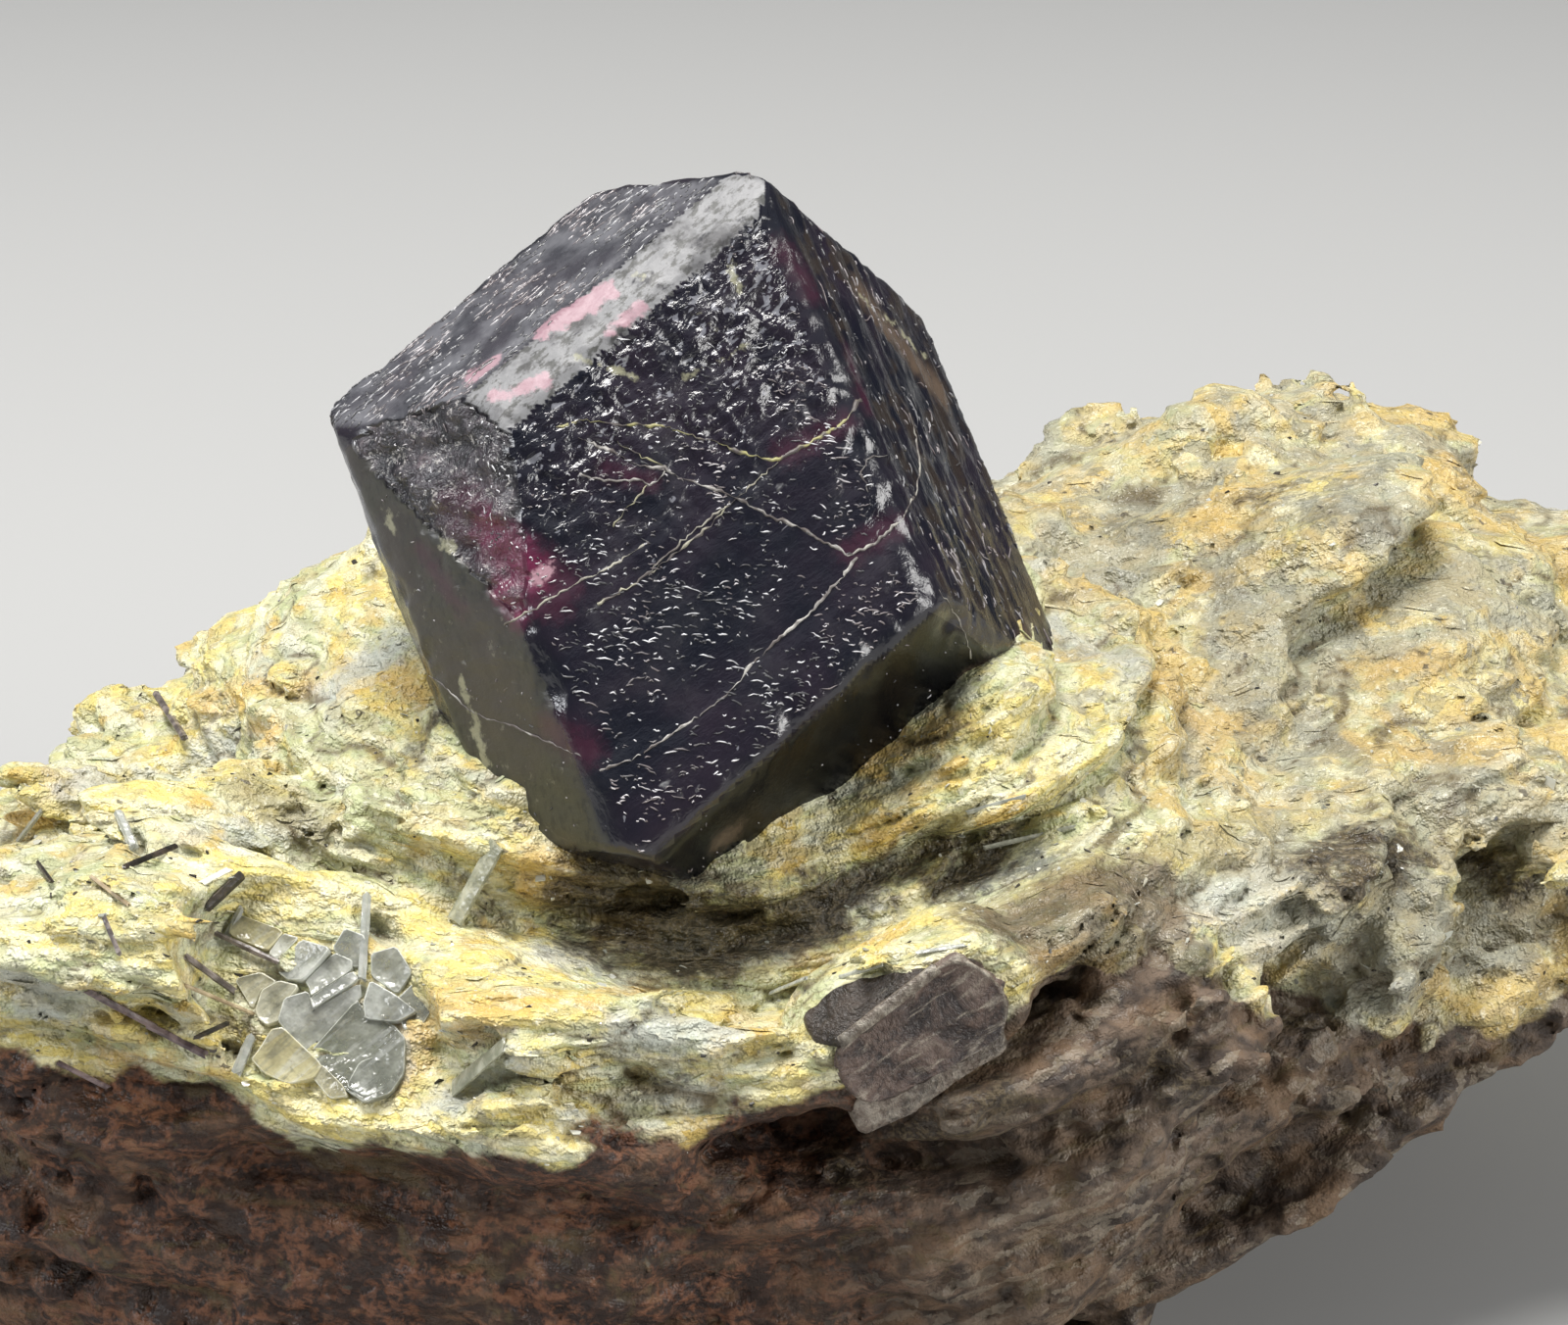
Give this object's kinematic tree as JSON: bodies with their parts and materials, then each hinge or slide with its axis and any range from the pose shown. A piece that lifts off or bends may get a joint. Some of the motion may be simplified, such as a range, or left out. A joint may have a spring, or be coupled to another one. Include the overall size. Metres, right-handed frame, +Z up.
{
  "type": "garnet crystal in mica schist",
  "caption": "Hand specimen: a large dark garnet crystal standing in a lump of yellow-green mica schist with a flat underside.",
  "frame": {"origin": "on the flat resting face, below the garnet", "axes": "+X runs along the specimen to its right end, +Y from the garnet's side to the back, +Z up"},
  "size_m": [0.0585, 0.0413, 0.0336],
  "materials": {
    "garnet": "glossy, near black with wine-red patches",
    "schist": "rough, flaky and fibrous with a silky sheen",
    "dark_mica": "satin, purple-brown cleavage face",
    "clear_mica": "glassy, pale and translucent"
  },
  "bodies": {
    "root": {"garnet": "garnet", "schist": "schist", "mica_book": "dark_mica", "mica_plates": "clear_mica"}
  },
  "joints": []
}
